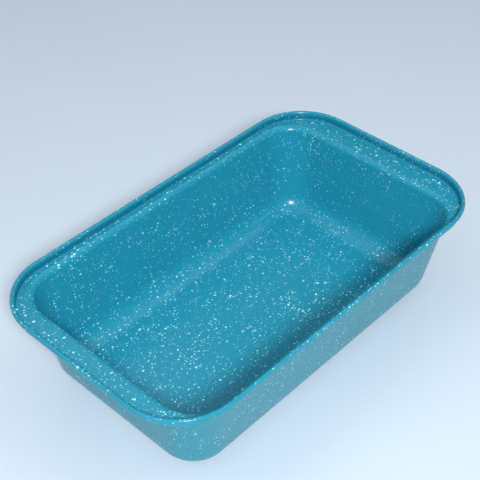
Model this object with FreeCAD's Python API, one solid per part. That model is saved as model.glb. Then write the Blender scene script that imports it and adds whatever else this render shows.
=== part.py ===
"""Loaf pan: a deep-drawn steel shell, a wire rolled into its rim and two fired coats.

+X runs along the pan, +Y across it and +Z up.  The origin is on the table, under the
middle of the base.  Millimetres.

Every surface of the pan follows one another at a fixed depth: the cooking face, the two
faces of the steel and the outside face.  cooking_space(depth) is the solid of all the
room on the cooking side of such a face, so each layer of the pan is one of these solids
with the next one taken away from it.
"""
import FreeCAD, Part
import math
import os

# Overall size
OVERALL_LENGTH = 268.0
OVERALL_WIDTH = 156.2
OVERALL_HEIGHT = 66.8

# Sheet and coats
STEEL_THICKNESS = 0.5
INNER_COAT = 0.15
OUTER_COAT = 0.15

# Rim: a bead rolled outward over a wire, standing on a low riser
BEAD_DIAMETER = 2.6
RIM_CORNER_RADIUS = 38.5
RIM_DROP = 6.15             # from the top of the bead down to the ledge
RISER_FOOT_RADIUS = 0.7
CURL_GAP = 0.15             # from the sheet's curled edge to the riser it comes back to

# Ledge between the riser and the mouth: wide at the ends, where the hands hold it
END_LEDGE = 15.5
SIDE_LEDGE = 5.4
LEDGE_BEND_RADIUS = 4.0
MOUTH_CORNER_RADIUS = 21.5

# Cavity: how far its walls lean outward, and the corners at the foot of the walls
END_DRAFT = math.radians(7.0)
SIDE_DRAFT = math.radians(9.1)
FLOOR_CORNER_RADIUS = 21.0
FLOOR_BEND_RADIUS = 13.7

# Depths of the four faces, counted from the cooking face
STEEL_INSIDE = INNER_COAT
STEEL_OUTSIDE = STEEL_INSIDE + STEEL_THICKNESS
OUTSIDE = STEEL_OUTSIDE + OUTER_COAT

# Heights of the cooking face, and of the bead's middle
FLOOR_Z = OUTSIDE
LEDGE_Z = OVERALL_HEIGHT - RIM_DROP
BEAD_RADIUS = BEAD_DIAMETER / 2
BEAD_Z = OVERALL_HEIGHT - BEAD_RADIUS

# Plan of the bead's middle line, and of the cooking face of the riser
BEAD_LINE_LENGTH = OVERALL_LENGTH - BEAD_DIAMETER
BEAD_LINE_WIDTH = OVERALL_WIDTH - BEAD_DIAMETER
BEAD_LINE_RADIUS = RIM_CORNER_RADIUS - BEAD_RADIUS
RISER_LENGTH = BEAD_LINE_LENGTH - BEAD_DIAMETER
RISER_WIDTH = BEAD_LINE_WIDTH - BEAD_DIAMETER
RISER_RADIUS = BEAD_LINE_RADIUS - BEAD_RADIUS

# Radii of the layers round the wire
CURL_OUTSIDE_RADIUS = BEAD_RADIUS - INNER_COAT
WIRE_RADIUS = CURL_OUTSIDE_RADIUS - STEEL_THICKNESS

# Where the rolled edge stops and where the two coats meet behind it, in the bead's
# section: degrees from straight outward, through upward
RISER_OUTSIDE_X = -WIRE_RADIUS + OUTER_COAT
CURL_END = -math.degrees(math.acos((-WIRE_RADIUS + CURL_GAP) / CURL_OUTSIDE_RADIUS))
SEAM_Z = -math.sqrt(BEAD_RADIUS ** 2 - RISER_OUTSIDE_X ** 2)
SEAM = math.degrees(math.atan2(SEAM_Z, RISER_OUTSIDE_X))

# The mouth and the floor are where their planes would meet the leaning walls
CAVITY_DEPTH = LEDGE_Z - FLOOR_Z
MOUTH_LENGTH = RISER_LENGTH - 2 * END_LEDGE
MOUTH_WIDTH = RISER_WIDTH - 2 * SIDE_LEDGE
FLOOR_LENGTH = MOUTH_LENGTH - 2 * CAVITY_DEPTH * math.tan(END_DRAFT)
FLOOR_WIDTH = MOUTH_WIDTH - 2 * CAVITY_DEPTH * math.tan(SIDE_DRAFT)

# The bend at the mouth has to fit on the ledge beside the riser's foot
TIGHTER_DRAFT = min(END_DRAFT, SIDE_DRAFT)
NARROWER_LEDGE = min(END_LEDGE, SIDE_LEDGE)
BEND_REACH_PER_RADIUS = math.tan((math.pi / 2 - TIGHTER_DRAFT) / 2)
LARGEST_BEND = (NARROWER_LEDGE - RISER_FOOT_RADIUS) / BEND_REACH_PER_RADIUS
BEND_RADIUS = min(LEDGE_BEND_RADIUS, LARGEST_BEND)

UP = FreeCAD.Vector(0, 0, 1)
QUARTER_TURN = 90.0
SAME = 1e-4                 # lengths closer than this are the same


def straight(start, end):
    """A straight edge between two points."""
    return Part.LineSegment(start, end).toShape()


def rounded_rectangle(length, width, radius, z):
    """A closed wire of four straight sides and four quarter circles, round the Z axis."""
    reach_x = length / 2 - radius
    reach_y = width / 2 - radius
    diagonal = radius / math.sqrt(2)
    edges = []
    corners = [(1, 1), (-1, 1), (-1, -1), (1, -1)]
    for number, (side_x, side_y) in enumerate(corners):
        centre = FreeCAD.Vector(side_x * reach_x, side_y * reach_y, z)
        on_x = centre + FreeCAD.Vector(side_x * radius, 0, 0)
        on_y = centre + FreeCAD.Vector(0, side_y * radius, 0)
        middle = centre + FreeCAD.Vector(side_x * diagonal, side_y * diagonal, 0)
        starts_on_x = number % 2 == 0
        start, end = (on_x, on_y) if starts_on_x else (on_y, on_x)
        next_x, next_y = corners[(number + 1) % len(corners)]
        if starts_on_x:
            following = FreeCAD.Vector(next_x * reach_x, next_y * (reach_y + radius), z)
        else:
            following = FreeCAD.Vector(next_x * (reach_x + radius), next_y * reach_y, z)
        edges.append(Part.Arc(start, middle, end).toShape())
        edges.append(straight(end, following))
    return Part.Wire(edges)


def edges_at(solid, z, within=None, beyond=None):
    """The level edges of a solid at height z, inside or outside a length along X."""
    chosen = []
    for edge in solid.Edges:
        box = edge.BoundBox
        level = abs(box.ZMin - z) < SAME and abs(box.ZMax - z) < SAME
        reach = max(abs(box.XMin), abs(box.XMax))
        side = max(abs(box.YMin), abs(box.YMax))
        if not level:
            continue
        if within and (reach > within[0] / 2 + SAME or side > within[1] / 2 + SAME):
            continue
        if beyond and reach < beyond[0] / 2 - SAME and side < beyond[1] / 2 - SAME:
            continue
        chosen.append(edge)
    return chosen


def cavity_size(length, width, radius, depth):
    """Length, width and corner radius of the cavity's wall, one layer deeper."""
    end_shift = depth / math.cos(END_DRAFT) - depth * math.tan(END_DRAFT)
    side_shift = depth / math.cos(SIDE_DRAFT) - depth * math.tan(SIDE_DRAFT)
    return length + 2 * end_shift, width + 2 * side_shift, radius + depth


def cooking_space(depth, top_z):
    """The room on the cooking side of the face that lies at this depth, up to top_z."""
    floor_z = FLOOR_Z - depth
    ledge_z = LEDGE_Z - depth
    floor = cavity_size(FLOOR_LENGTH, FLOOR_WIDTH, FLOOR_CORNER_RADIUS, depth)
    mouth = cavity_size(MOUTH_LENGTH, MOUTH_WIDTH, MOUTH_CORNER_RADIUS, depth)
    riser = (RISER_LENGTH + 2 * depth, RISER_WIDTH + 2 * depth, RISER_RADIUS + depth)

    cavity = Part.makeLoft(
        [rounded_rectangle(*floor, floor_z), rounded_rectangle(*mouth, ledge_z)], True, True
    )
    above = Part.Face(rounded_rectangle(*riser, ledge_z)).extrude(UP * (top_z - ledge_z))
    space = cavity.fuse(above)

    space = space.makeFillet(FLOOR_BEND_RADIUS + depth, edges_at(space, floor_z))
    space = space.makeFillet(BEND_RADIUS - depth, edges_at(space, ledge_z, within=mouth))
    return space.makeFillet(RISER_FOOT_RADIUS + depth, edges_at(space, ledge_z, beyond=riser))


def layer(inner_depth, outer_depth, top_z):
    """The sheet between two faces of the pan, from the base up to top_z."""
    return cooking_space(outer_depth, top_z).cut(cooking_space(inner_depth, top_z))


def bead_point(radius, degrees):
    """A point of the bead's section, which lies in the XZ plane round the origin."""
    angle = math.radians(degrees)
    return FreeCAD.Vector(radius * math.cos(angle), 0, radius * math.sin(angle))


def bead_arc(radius, start, end):
    """An arc of the bead's section; degrees are counted from outward, through upward."""
    middle = (start + end) / 2
    return Part.Arc(
        bead_point(radius, start), bead_point(radius, middle), bead_point(radius, end)
    ).toShape()


def section(edges):
    """A face from edges that were drawn in any direction round it."""
    return Part.Face(Part.Wire(Part.__sortEdges__(edges)))


def ring_sector(inner_radius, outer_radius, start, end):
    """The part of a ring's section between two angles."""
    return section([
        bead_arc(inner_radius, start, end),
        straight(bead_point(inner_radius, end), bead_point(outer_radius, end)),
        bead_arc(outer_radius, start, end),
        straight(bead_point(inner_radius, start), bead_point(outer_radius, start)),
    ])


def round_the_rim(profile):
    """Carry a section of the bead round the rim: four straight runs and four corners."""
    reach_x = BEAD_LINE_LENGTH / 2 - BEAD_LINE_RADIUS
    reach_y = BEAD_LINE_WIDTH / 2 - BEAD_LINE_RADIUS
    runs = [
        (reach_x, -reach_y, 0, 2 * reach_y),
        (reach_x, reach_y, 1, 2 * reach_x),
        (-reach_x, reach_y, 2, 2 * reach_y),
        (-reach_x, -reach_y, 3, 2 * reach_x),
    ]
    pieces = []
    for centre_x, centre_y, quarters, run in runs:
        placed = profile.copy()
        placed.translate(FreeCAD.Vector(BEAD_LINE_RADIUS, 0, BEAD_Z))
        placed.rotate(FreeCAD.Vector(0, 0, 0), UP, quarters * QUARTER_TURN)
        placed.translate(FreeCAD.Vector(centre_x, centre_y, 0))
        along = FreeCAD.Rotation(UP, quarters * QUARTER_TURN).multVec(FreeCAD.Vector(0, run, 0))
        pieces.append(placed.extrude(along))
        at_corner = placed.copy()
        at_corner.translate(along)
        corner = FreeCAD.Vector(centre_x, centre_y, 0) + along
        pieces.append(at_corner.revolve(corner, UP, QUARTER_TURN))
    ring = pieces[0].fuse(pieces[1:])
    return ring.removeSplitter()


def steel_shell():
    """The drawn sheet with its edge rolled outward and down, round the wire."""
    curl = round_the_rim(ring_sector(WIRE_RADIUS, CURL_OUTSIDE_RADIUS, CURL_END, 180))
    return layer(STEEL_INSIDE, STEEL_OUTSIDE, BEAD_Z).fuse(curl).removeSplitter()


def rim_wire():
    """The round wire that the sheet's edge is rolled over."""
    return round_the_rim(section([bead_arc(WIRE_RADIUS, 0, 180), bead_arc(WIRE_RADIUS, 180, 360)]))


def inner_coating():
    """The coat on the cooking face, up the riser and round the bead to the rolled edge."""
    round_bead = round_the_rim(ring_sector(CURL_OUTSIDE_RADIUS, BEAD_RADIUS, SEAM, 180))
    return layer(0, STEEL_INSIDE, BEAD_Z).fuse(round_bead).removeSplitter()


def outer_coating():
    """The coat on the outside, which also seals the gap behind the rolled edge."""
    on_steel = FreeCAD.Vector(-WIRE_RADIUS, 0, SEAM_Z)
    on_riser = bead_point(BEAD_RADIUS, SEAM)
    seal = round_the_rim(section([
        straight(bead_point(WIRE_RADIUS, -180), on_steel),
        straight(on_steel, on_riser),
        straight(on_riser, bead_point(CURL_OUTSIDE_RADIUS, SEAM)),
        bead_arc(CURL_OUTSIDE_RADIUS, CURL_END, SEAM),
        straight(bead_point(CURL_OUTSIDE_RADIUS, CURL_END), bead_point(WIRE_RADIUS, CURL_END)),
        bead_arc(WIRE_RADIUS, -180, CURL_END),
    ]))
    return layer(STEEL_OUTSIDE, OUTSIDE, BEAD_Z + SEAM_Z).fuse(seal).removeSplitter()


def save(name, shape):
    """Check a piece, say what it is and write it to parts/."""
    if not shape.isValid() or len(shape.Solids) != 1:
        raise ValueError(f"{name} is not one sound solid")
    shape.Solids[0].exportStep(f"parts/{name}.step")
    box = shape.BoundBox
    print(f"{name}: {shape.Volume / 1000:.2f} cm3, "
          f"{box.XLength:.2f} x {box.YLength:.2f} x {box.ZLength:.2f} mm, lowest {box.ZMin:.2f}")


os.makedirs("parts", exist_ok=True)
save("steel_shell", steel_shell())
save("rim_wire", rim_wire())
save("inner_coating", inner_coating())
save("outer_coating", outer_coating())
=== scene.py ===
# %% [markdown]
# # A speckled loaf pan
# A loaf pan is one steel sheet, drawn down over a block, with its edge rolled over a wire.
# The steel then gets a glossy teal coat flecked with white.  The sheet and the wire are
# ready in the model that this lesson loads; what the eye sees is only the coat, so the
# lesson makes the coat, its colour and the light it stands in.

# %% Load the frame
import math

import bpy
import numpy as np
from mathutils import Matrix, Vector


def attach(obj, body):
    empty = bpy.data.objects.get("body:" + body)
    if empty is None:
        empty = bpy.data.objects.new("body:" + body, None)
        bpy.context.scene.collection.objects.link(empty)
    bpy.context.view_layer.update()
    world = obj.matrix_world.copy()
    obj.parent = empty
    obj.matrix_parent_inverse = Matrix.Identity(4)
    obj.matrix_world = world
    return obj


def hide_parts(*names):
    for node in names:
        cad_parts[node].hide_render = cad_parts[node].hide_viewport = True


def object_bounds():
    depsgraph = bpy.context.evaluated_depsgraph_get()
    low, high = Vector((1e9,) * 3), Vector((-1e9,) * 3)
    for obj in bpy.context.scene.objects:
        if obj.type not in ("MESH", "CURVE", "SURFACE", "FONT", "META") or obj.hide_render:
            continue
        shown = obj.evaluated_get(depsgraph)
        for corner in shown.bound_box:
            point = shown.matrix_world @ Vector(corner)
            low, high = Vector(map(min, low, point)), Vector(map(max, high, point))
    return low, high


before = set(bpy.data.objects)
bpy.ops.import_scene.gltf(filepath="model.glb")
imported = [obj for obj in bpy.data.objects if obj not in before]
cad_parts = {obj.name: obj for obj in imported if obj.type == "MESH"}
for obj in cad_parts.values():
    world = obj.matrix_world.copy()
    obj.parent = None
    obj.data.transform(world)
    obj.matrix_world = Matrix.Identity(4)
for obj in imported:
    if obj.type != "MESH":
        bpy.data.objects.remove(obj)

MM = 0.001
pan_low, pan_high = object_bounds()
print("the pan measures", [round((b - a) / MM, 1) for a, b in zip(pan_low, pan_high)], "mm")

# %% [markdown]
# ## The sizes of the pan
# A maker draws a pan as one section and lets every face of the sheet follow it.  The
# overall size comes from the frame; the few sizes below are the ones a press tool is cut
# to.  Lengths are in metres, like everything in the scene.

# %% Name the sizes
LENGTH = pan_high[0] - pan_low[0]
WIDTH = pan_high[1] - pan_low[1]
HEIGHT = pan_high[2] - pan_low[2]
STEEL = 0.5 * MM
COAT = 0.15 * MM
BEAD_RADIUS = 1.3 * MM
RIM_CORNER = 38.5 * MM
RIM_DROP = 6.15 * MM
RISER_FOOT = 0.7 * MM
END_LEDGE = 15.5 * MM
SIDE_LEDGE = 5.4 * MM
MOUTH_BEND = 4.0 * MM
MOUTH_CORNER = 21.5 * MM
FLOOR_CORNER = 21.0 * MM
FLOOR_BEND = 13.7 * MM
END_DRAFT = math.radians(7.0)
SIDE_DRAFT = math.radians(9.1)
SHEET = STEEL + 2 * COAT

ledge_z = HEIGHT - RIM_DROP
bead_z = HEIGHT - BEAD_RADIUS
bead_x = LENGTH / 2 - BEAD_RADIUS
bead_y = WIDTH / 2 - BEAD_RADIUS
riser_x = bead_x - BEAD_RADIUS
riser_y = bead_y - BEAD_RADIUS
mouth_x = riser_x - END_LEDGE
mouth_y = riser_y - SIDE_LEDGE
floor_x = mouth_x - (ledge_z - SHEET) * math.tan(END_DRAFT)
floor_y = mouth_y - (ledge_z - SHEET) * math.tan(SIDE_DRAFT)
print("mouth", round(2 * mouth_x / MM), "by", round(2 * mouth_y / MM), "mm, floor",
      round(2 * floor_x / MM), "by", round(2 * floor_y / MM), "mm")

# %% [markdown]
# ## One hoop of the pan
# Cut level, the pan is a rectangle with rounded corners at any height.  So its skin can be
# a stack of hoops, each with the same number of points, joined by quads.  A grid like this
# has no seams and shades smoothly, where a boolean of boxes would leave ragged corners.
# Every hoop is walked in the same steps, so one list of directions, straight out from the
# pan, serves them all: a hoop is widened by moving each point outward.

# %% Walk round a hoop
CORNER_STEPS = 20
STRAIGHT_STEPS = [44, 22]
CORNERS = [(1, 1), (-1, 1), (-1, -1), (1, -1)]
QUARTER = math.pi / 2


def outline(half_x, half_y, corner):
    """Points of a rounded rectangle, anticlockwise from the corner at +X, +Y."""
    points = []
    for number, (side_x, side_y) in enumerate(CORNERS):
        turn = number * QUARTER + np.linspace(0, QUARTER, CORNER_STEPS + 1)
        round_it = corner * np.stack([np.cos(turn), np.sin(turn)], axis=1)
        next_x, next_y = CORNERS[(number + 1) % 4]
        reach = np.array([half_x - corner, half_y - corner])
        here = reach * (side_x, side_y)
        after = reach * (next_x, next_y)
        share = np.linspace(0, 1, STRAIGHT_STEPS[number % 2] + 1)[1:-1, None]
        points += [here + round_it, here + round_it[-1] + (after - here) * share]
    return np.concatenate(points)


corner_turns = [np.linspace(0, QUARTER, CORNER_STEPS + 1) + QUARTER * n for n in range(4)]
straight_turns = [np.full(STRAIGHT_STEPS[n % 2] - 1, QUARTER * (n + 1)) for n in range(4)]
turns = np.concatenate([part for pair in zip(corner_turns, straight_turns) for part in pair])
OUTWARD = np.stack([np.cos(turns), np.sin(turns)], axis=1)
print("a hoop has", len(turns), "points")


def widen(plan, by):
    """Move a hoop's points outward, all alike or each by its own amount."""
    return plan + OUTWARD * np.broadcast_to(by, len(OUTWARD))[:, None]


def raised(plan, z):
    """A hoop as points in space, level or with a height for each point."""
    return np.column_stack([plan, np.broadcast_to(z, len(plan))])


# %% [markdown]
# ## The section, face by face
# The cooking face, both faces of the steel and the outside face lie at fixed depths below
# one another.  Where the sheet bends, its faces share the middle of the bend and differ in
# radius, so one function of the depth draws them all: floor, bend, leaning wall, bend over
# the mouth, ledge, foot of the riser and the riser itself.  A bend is the path of a ball
# rolled along the corner that it rounds, so the lean of the wall says where it stops.

# %% Draw the section at a depth
FLOOR_HOOPS = 14
FLOOR_BEND_HOOPS = 14
WALL_HOOPS = 16
MOUTH_BEND_HOOPS = 12
LEDGE_HOOPS = 6
FOOT_HOOPS = 5
BEAD_HOOPS = 36


def steps_to(count):
    """Even shares from just above 0 up to 1."""
    return np.arange(1, count + 1) / count


def at_depth(half_x, half_y, corner, depth):
    """The cavity's outline, one face deeper."""
    end = depth / math.cos(END_DRAFT) - depth * math.tan(END_DRAFT)
    side = depth / math.cos(SIDE_DRAFT) - depth * math.tan(SIDE_DRAFT)
    return outline(half_x + end, half_y + side, corner + depth)


def section(depth, riser_top):
    """Hoops from the middle of the floor, up the wall and over the ledge, to riser_top."""
    floor = at_depth(floor_x, floor_y, FLOOR_CORNER, depth)
    mouth = at_depth(mouth_x, mouth_y, MOUTH_CORNER, depth)
    riser = outline(riser_x + depth, riser_y + depth, RIM_CORNER - 2 * BEAD_RADIUS + depth)
    floor_z = SHEET - depth
    top_z = ledge_z - depth
    lean = np.arctan(((mouth - floor) * OUTWARD).sum(axis=1) / (top_z - floor_z))

    def wall(z):
        share = (z - floor_z) / (top_z - floor_z)
        return floor + (mouth - floor) * np.broadcast_to(share, len(floor))[:, None]

    radius = FLOOR_BEND + depth
    wall_foot_z = floor_z + radius * (1 - np.sin(lean))
    flat_floor = widen(wall(wall_foot_z), -radius * np.cos(lean))
    hoops = [raised(flat_floor * share, floor_z) for share in steps_to(FLOOR_HOOPS)]
    for share in steps_to(FLOOR_BEND_HOOPS):
        turn = share * (QUARTER - lean)
        hoops.append(raised(widen(flat_floor, radius * np.sin(turn)),
                            floor_z + radius * (1 - np.cos(turn))))

    radius = MOUTH_BEND - depth
    wall_head_z = top_z - radius * (1 - np.sin(lean))
    flat_ledge = widen(wall(wall_head_z), radius * np.cos(lean))
    for share in steps_to(WALL_HOOPS):
        z = wall_foot_z + (wall_head_z - wall_foot_z) * share
        hoops.append(raised(wall(z), z))
    for share in steps_to(MOUTH_BEND_HOOPS):
        turn = (1 - share) * (QUARTER - lean)
        hoops.append(raised(widen(flat_ledge, -radius * np.sin(turn)),
                            top_z - radius * (1 - np.cos(turn))))

    radius = RISER_FOOT + depth
    ledge_end = widen(riser, -radius)
    for share in steps_to(LEDGE_HOOPS):
        hoops.append(raised(flat_ledge + (ledge_end - flat_ledge) * share, top_z))
    for turn in steps_to(FOOT_HOOPS) * QUARTER:
        hoops.append(raised(widen(ledge_end, radius * math.sin(turn)),
                            top_z + radius * (1 - math.cos(turn))))
    return hoops + [raised(riser, riser_top)]


# %% [markdown]
# ## The bead
# Above the riser the sheet is rolled outward and down over the wire, which stiffens the rim
# and hides the cut edge.  Seen from the bead's own line its section is a circle, so its
# hoops are the same hoop widened and lifted round that circle.  A bevelled curve would do
# it too, but its points would not meet those of the riser.

# %% Roll the bead
bead_line = outline(bead_x, bead_y, RIM_CORNER - BEAD_RADIUS)


def bead(radius, start, end, steps):
    """Hoops round the bead; angles are in degrees from straight outward, through upward."""
    turns = np.radians(np.linspace(start, end, steps + 1))
    return [raised(widen(bead_line, radius * math.cos(turn)), bead_z + radius * math.sin(turn))
            for turn in turns]


# %% [markdown]
# ## Skins with a thickness
# Each coat is a closed shell: a front made of hoops, a back one coat deeper, and a narrow
# edge where the two meet.  Blender's Solidify could thicken a single face, but the back
# has to lie on the steel in every bend, and the section already knows where that is.

# %% Close a coat
def shell(name, front, back):
    """A closed mesh object from front hoops and back hoops, both from the middle outward."""
    rings = front + back[::-1]
    count = len(rings[0])
    points = np.concatenate(rings + [rings[0].mean(0)[None], rings[-1].mean(0)[None]])
    first_middle = len(points) - 2
    last_middle = len(points) - 1
    here = np.arange(count)
    after = (here + 1) % count
    faces = []
    for ring in range(len(rings) - 1):
        low, high = ring * count, (ring + 1) * count
        faces += np.stack([low + here, high + here, high + after, low + after], 1).tolist()
    last = (len(rings) - 1) * count
    faces += [[int(a), int(b), first_middle] for a, b in zip(here, after)]
    faces += [[int(last + b), int(last + a), last_middle] for a, b in zip(here, after)]
    mesh = bpy.data.meshes.new(name)
    mesh.from_pydata(points.tolist(), [], faces)
    mesh.validate()
    mesh.update()
    mesh.shade_smooth()
    piece = bpy.data.objects.new(name, mesh)
    bpy.context.scene.collection.objects.link(piece)
    return piece


SEAM_X = COAT - (BEAD_RADIUS - COAT - STEEL)
seam = -math.degrees(math.acos(SEAM_X / BEAD_RADIUS))
seam_z = bead_z - math.sqrt(BEAD_RADIUS ** 2 - SEAM_X ** 2)

inner = shell(
    "inner_enamel",
    section(0, bead_z)[:-1] + bead(BEAD_RADIUS, 180, seam, BEAD_HOOPS),
    section(COAT, bead_z)[:-1] + bead(BEAD_RADIUS - COAT, 180, seam, BEAD_HOOPS),
)
outer = shell(
    "outer_enamel",
    section(SHEET, seam_z),
    section(SHEET - COAT, seam_z),
)
for piece in (inner, outer):
    print(piece.name, len(piece.data.vertices), "vertices", len(piece.data.polygons), "faces")

# %% [markdown]
# ## In place of the plain coats
# The loaded model holds each coat as a plain solid of the same size.  The smooth skins take
# their places, and both stay with the pan wherever it is moved.

# %% Put the coats on the pan
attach(inner, "root")
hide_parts("inner_coating")
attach(outer, "root")
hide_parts("outer_coating")

# %% [markdown]
# ## A small kit for finishes
# A finish in Blender is a net of nodes that ends in the surface shader.  Writing each node
# and each link out takes three lines a time, so a short helper makes a node, sets its
# numbers and joins its inputs in one go.  All patterns use object coordinates, turned
# into millimetres, so the specks keep their real size and stay put on the metal.

# %% Make nodes in one line each
def node(net, kind, inputs=(), **settings):
    """Add a node; inputs pairs a socket's name or number with a value or another socket."""
    made = net.nodes.new(kind)
    for name, value in settings.items():
        setattr(made, name, value)
    for socket, value in dict(inputs).items():
        if isinstance(value, bpy.types.NodeSocket):
            net.links.new(value, made.inputs[socket])
        else:
            made.inputs[socket].default_value = value
    return made


def maths(net, operation, *values, clamp=False):
    """One sum on numbers or sockets."""
    return node(net, "ShaderNodeMath", dict(enumerate(values)),
                operation=operation, use_clamp=clamp).outputs[0]


def mix_colour(net, share, one, other):
    """From one colour to the other by a share of 0 to 1."""
    made = node(net, "ShaderNodeMix", data_type="RGBA")
    for socket, value in ((0, share), (6, one), (7, other)):
        if isinstance(value, bpy.types.NodeSocket):
            net.links.new(value, made.inputs[socket])
        else:
            made.inputs[socket].default_value = value
    return made.outputs[2]


def new_finish(name):
    """A material with an empty net, its shader, and its coordinates in millimetres."""
    finish = bpy.data.materials.new(name)
    finish.use_nodes = True
    net = finish.node_tree
    net.nodes.clear()
    shader = node(net, "ShaderNodeBsdfPrincipled")
    node(net, "ShaderNodeOutputMaterial", {"Surface": shader.outputs["BSDF"]})
    coordinates = node(net, "ShaderNodeTexCoord").outputs["Object"]
    place = node(net, "ShaderNodeVectorMath", {0: coordinates, "Scale": 1 / MM},
                 operation="SCALE").outputs[0]
    return finish, net, shader, place


# %% [markdown]
# ## The speckled teal coat
# The white specks are droplets spattered on the teal before the coat is baked, so they
# come in all sizes and are pulled out of round.  They lie in loose clusters, and thicker
# on level faces than on steep ones, since they fall from above.  A picture of specks would
# smear in the corners.  A Voronoi texture in space does not: each of its cells holds one
# point, and where the metal passes near such a point it shows a dot.  Three sizes of cell
# make three sizes of droplet, each cell draws its own radius and its own strength, and a
# slow noise thins the spatter out.

# %% Spatter droplets
DROP_EDGE = 0.16
FAINTEST_DROP = 0.45


def droplets(net, place, cell, small, large, thinning):
    """How much white one size of droplet lays on the coat: 0 to 1, lengths in mm."""
    cells = node(net, "ShaderNodeTexVoronoi", {"Vector": place, "Scale": 1 / cell},
                 feature="F1", voronoi_dimensions="3D")
    draw = node(net, "ShaderNodeSeparateColor", {0: cells.outputs["Color"]})
    few_large = maths(net, "POWER", draw.outputs[0], 2.0)
    radius = maths(net, "MULTIPLY_ADD", few_large, (large - small) / cell, small / cell)
    radius = maths(net, "MULTIPLY", radius, thinning)
    inside = maths(net, "SUBTRACT", radius, cells.outputs["Distance"])
    cover = maths(net, "MULTIPLY_ADD", inside, cell / DROP_EDGE, 0.5, clamp=True)
    strength = maths(net, "MULTIPLY_ADD", draw.outputs[1], 1 - FAINTEST_DROP, FAINTEST_DROP)
    return maths(net, "MULTIPLY", cover, strength)


def spatter(net, place):
    """All droplets together, out of round and thinner in some places."""
    stretched = node(net, "ShaderNodeVectorMath", {0: place, 1: (0.7, 1.0, 1.0)},
                     operation="MULTIPLY").outputs[0]
    wobble = node(net, "ShaderNodeTexNoise",
                  {"Vector": place, "Scale": 0.8, "Detail": 2.0}).outputs["Color"]
    wobble = node(net, "ShaderNodeVectorMath", {0: wobble, 1: (0.5, 0.5, 0.5)},
                  operation="SUBTRACT").outputs[0]
    bent = node(net, "ShaderNodeVectorMath", {0: wobble, 1: (1.1, 1.1, 1.1), 2: stretched},
                operation="MULTIPLY_ADD").outputs[0]
    patches = node(net, "ShaderNodeTexNoise",
                   {"Vector": place, "Scale": 0.05, "Detail": 4.0}).outputs["Fac"]
    facing = node(net, "ShaderNodeSeparateXYZ",
                  {0: node(net, "ShaderNodeTexCoord").outputs["Normal"]}).outputs["Z"]
    level = maths(net, "MULTIPLY_ADD", maths(net, "ABSOLUTE", facing), 0.25, 0.75)
    thinning = maths(net, "MULTIPLY", maths(net, "MULTIPLY_ADD", patches, 1.9, 0.05), level)
    big = droplets(net, bent, 3.0, 0.16, 0.62, thinning)
    middle = droplets(net, bent, 1.75, 0.12, 0.45, thinning)
    fine = droplets(net, bent, 1.25, 0.08, 0.30, thinning)
    return maths(net, "MAXIMUM", maths(net, "MAXIMUM", big, middle), fine)


# %% [markdown]
# ## Colour and gloss
# Enamel is glass, so it mirrors the lamp sharply, and a fine roughness and a slight ripple
# break the reflection up as they do on a fired coat.  On the inside, a darker teal is
# painted over the riser, between the ledge and the bead: painted shade for the shade that
# falls in that narrow step.  The outside is a little greener than the inside.  A clear layer
# over a dull one would give the same gloss; one layer is enough, since the specks lie at the
# surface.

# %% Mix the coat
TEAL = (0.016, 0.275, 0.405, 1)
TEAL_DEEP = (0.011, 0.245, 0.365, 1)
GREENER_TEAL = (0.020, 0.265, 0.345, 1)
GREENER_TEAL_DEEP = (0.015, 0.235, 0.31, 1)
WHITE = (0.48, 0.97, 1.00, 1)
# The dark teal and the height band of the painted shade on the riser, centred halfway between
# ledge and bead.
RISER_SHADE_TEAL = (0.004, 0.11, 0.19, 1)
RISER_SHADE_MIDDLE = (ledge_z + bead_z) / 2
RISER_SHADE_REACH = 0.55 * (bead_z - ledge_z)


def painted_riser_shade(net, place):
    """Painted shade on the riser's face, between the ledge and the bead: 0 to 1, most halfway
    up.
    """
    height = node(net, "ShaderNodeSeparateXYZ", {0: place}).outputs["Z"]
    away = maths(net, "ABSOLUTE", maths(net, "SUBTRACT", height, RISER_SHADE_MIDDLE / MM))
    return maths(net, "MULTIPLY_ADD", away, -MM / RISER_SHADE_REACH, 1.0, clamp=True)


def speckled_coat(name, teal, deep, roughness, gloss, riser_shade):
    """Cloudy teal with white droplets; the last argument sets how much painted shade darkens
    the riser.
    """
    finish, net, shader, place = new_finish(name)
    cloud = node(net, "ShaderNodeTexNoise",
                 {"Vector": place, "Scale": 0.03, "Detail": 4.0}).outputs["Fac"]
    ground = mix_colour(net, cloud, teal, deep)
    # Painted shade: a darker teal laid over the riser's face, standing in for the shade in
    # that step.
    ground = mix_colour(net, maths(net, "MULTIPLY", painted_riser_shade(net, place), riser_shade), ground,
                        RISER_SHADE_TEAL)
    white = spatter(net, place)
    colour = mix_colour(net, white, ground, WHITE)
    net.links.new(colour, shader.inputs["Base Color"])
    smear = node(net, "ShaderNodeTexNoise",
                 {"Vector": place, "Scale": 0.12, "Detail": 5.0}).outputs["Fac"]
    rough = maths(net, "MULTIPLY_ADD", smear, 0.10, roughness - 0.05)
    rough = maths(net, "MULTIPLY_ADD", white, 0.12, rough)
    net.links.new(rough, shader.inputs["Roughness"])
    skin = node(net, "ShaderNodeTexNoise",
                {"Vector": place, "Scale": 0.35, "Detail": 3.0}).outputs["Fac"]
    height = maths(net, "MULTIPLY_ADD", white, 0.03, maths(net, "MULTIPLY", skin, 0.05))
    bump = node(net, "ShaderNodeBump", {"Height": height, "Distance": MM, "Strength": 1.0})
    net.links.new(bump.outputs[0], shader.inputs["Normal"])
    shader.inputs["Specular IOR Level"].default_value = gloss
    return finish


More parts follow.
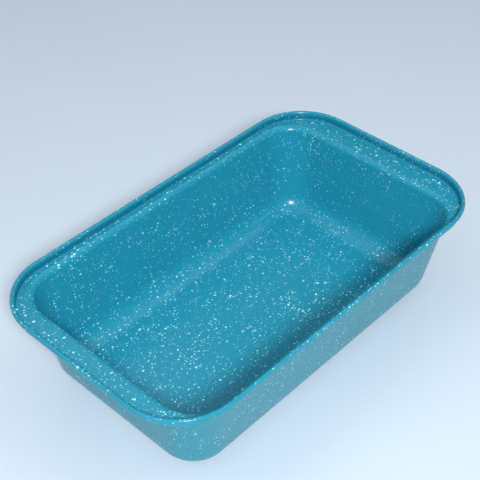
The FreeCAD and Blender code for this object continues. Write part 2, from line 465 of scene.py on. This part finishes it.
# The inside gets painted shade on the riser; the outside gets none.
inside = speckled_coat("speckled_teal_inside", TEAL, TEAL_DEEP,
                       roughness=0.20, gloss=0.30, riser_shade=0.8)
outside = speckled_coat("speckled_teal_outside", GREENER_TEAL, GREENER_TEAL_DEEP,
                        roughness=0.24, gloss=0.45, riser_shade=0.0)
inner.data.materials.append(inside)
outer.data.materials.append(outside)
print("nodes in the coats:", len(inside.node_tree.nodes), "and", len(outside.node_tree.nodes))

# %% [markdown]
# ## Bare steel under the coats
# The sheet and its wire are closed in by the coats, so they only show if a coat is taken
# off.  They still get the finish of cold-rolled steel: fine lines along the pan, from the
# rolls, over a grey that is a little uneven.

# %% Brush the steel
def rolled_steel(name, grey, line_width):
    """Bare steel with fine lines along the pan, line_width apart in mm."""
    finish, net, shader, place = new_finish(name)
    along = node(net, "ShaderNodeVectorMath", {0: place, 1: (0.02, 1.0, 1.0)},
                 operation="MULTIPLY").outputs[0]
    lines = node(net, "ShaderNodeTexNoise",
                 {"Vector": along, "Scale": 1 / line_width, "Detail": 3.0}).outputs["Fac"]
    patches = node(net, "ShaderNodeTexNoise",
                   {"Vector": place, "Scale": 0.05, "Detail": 4.0}).outputs["Fac"]
    colour = mix_colour(net, patches, (grey, grey, grey * 1.02, 1),
                        (grey * 0.8, grey * 0.8, grey * 0.82, 1))
    net.links.new(colour, shader.inputs["Base Color"])
    net.links.new(maths(net, "MULTIPLY_ADD", lines, 0.25, 0.25), shader.inputs["Roughness"])
    bump = node(net, "ShaderNodeBump", {"Height": lines, "Distance": 0.01 * MM})
    net.links.new(bump.outputs[0], shader.inputs["Normal"])
    shader.inputs["Metallic"].default_value = 1.0
    return finish


def dress(piece, finish):
    """Give a piece of the loaded model this finish alone."""
    piece.data.materials.clear()
    piece.data.materials.append(finish)


dress(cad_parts["steel_shell"], rolled_steel("rolled_steel", 0.56, 0.6))
dress(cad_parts["rim_wire"], rolled_steel("drawn_wire", 0.62, 0.3))
print("the sheet and the wire have their bare steel")

# %% [markdown]
# ## A pale table
# The pan stands on a smooth pale sheet with a blue cast.  One large plane does it, so long
# as it reaches past what the camera sees.

# %% Lay the table
bpy.ops.mesh.primitive_plane_add(size=4.0, location=(0, 0, 0))
table = bpy.context.object
table.name = "table"
finish, net, shader, place = new_finish("pale_sheet")
weave = node(net, "ShaderNodeTexNoise",
             {"Vector": place, "Scale": 0.01, "Detail": 3.0}).outputs["Fac"]
net.links.new(mix_colour(net, weave, (0.62, 0.715, 0.815, 1), (0.59, 0.685, 0.785, 1)),
              shader.inputs["Base Color"])
shader.inputs["Roughness"].default_value = 0.7
table.data.materials.append(finish)
print("the table is", round(table.dimensions.x, 1), "m wide")

# %% [markdown]
# ## Soft light
# One small soft lamp hangs on the near left, about as high as it is far away, and the pale
# room and six wide screens round the pan fill in its shadows.  The lamp draws the small
# bright spots in the bends and the line along the bead, and makes the rim's soft shadow on
# the near edge of the floor and on the table behind the pan.  Area lights do both: the
# larger the light, the softer its edge.

# %% Hang the lights
from mathutils import Matrix, Vector

room = bpy.data.worlds.new("room")
bpy.context.scene.world = room
room.use_nodes = True
sky = room.node_tree.nodes["Background"]
sky.inputs["Color"].default_value = (0.9, 0.95, 1.0, 1)
sky.inputs["Strength"].default_value = 0.29


def soft_light(name, place, aim, side, power):
    """A white square light of this side, turned to face what it is aimed at."""
    lamp = bpy.data.lights.new(name, "AREA")
    lamp.shape = "SQUARE"
    lamp.size = side
    lamp.energy = power
    holder = bpy.data.objects.new(name, lamp)
    holder.location = place
    holder.rotation_euler = (Vector(aim) - Vector(place)).to_track_quat("-Z", "Y").to_euler()
    bpy.context.scene.collection.objects.link(holder)


def round_the_pan(heading, height, distance):
    """A place at a distance from the pan, by compass and height angle in degrees."""
    flat = distance * math.cos(math.radians(height))
    return (flat * math.cos(math.radians(heading)), flat * math.sin(math.radians(heading)),
            distance * math.sin(math.radians(height)))


PAN_MIDDLE = (0, 0, 0.03)
LAMP_SIDE = 0.17
SCREEN_SIDE = 0.8
SCREEN_DISTANCE = 1.4
soft_light("lamp", round_the_pan(231, 43, 1.25), PAN_MIDDLE, LAMP_SIDE, 14.4)
for name, heading, height, power in (
    ("front", 216, 62, 0.6), ("right", 288, 62, 0.9), ("left", 160, 38, 0.9),
    ("back", 72, 62, 1.5), ("far_right", 0, 62, 1.9), ("near_left", 144, 62, 1.2),
):
    stand = round_the_pan(heading, height, SCREEN_DISTANCE)
    soft_light(name, stand, PAN_MIDDLE, SCREEN_SIDE, power)
print("the room has", len(bpy.data.lights), "lights")

# %% [markdown]
# ## The camera
# It looks down on the near left corner at about forty degrees, through a longish lens.

# %% Stand the camera
CAMERA_PLACE = Vector((-352.5, -323.6, 481.0)) * MM
HEADING = math.radians(43.18)
DOWN = math.radians(40.84)
TILT = math.radians(-0.12)

eye = bpy.data.cameras.new("camera")
eye.lens = 81.34
eye.sensor_width = 36
camera = bpy.data.objects.new("camera", eye)
bpy.context.scene.collection.objects.link(camera)
camera.matrix_world = (
    Matrix.Translation(CAMERA_PLACE)
    @ Matrix.Rotation(HEADING - QUARTER, 4, "Z")
    @ Matrix.Rotation(QUARTER - DOWN, 4, "X")
    @ Matrix.Rotation(TILT, 4, "Z")
)
bpy.context.scene.camera = camera
print("the camera stands", round(CAMERA_PLACE.length, 2), "m from the pan")
bpy.context.scene.view_settings.view_transform = "Standard"
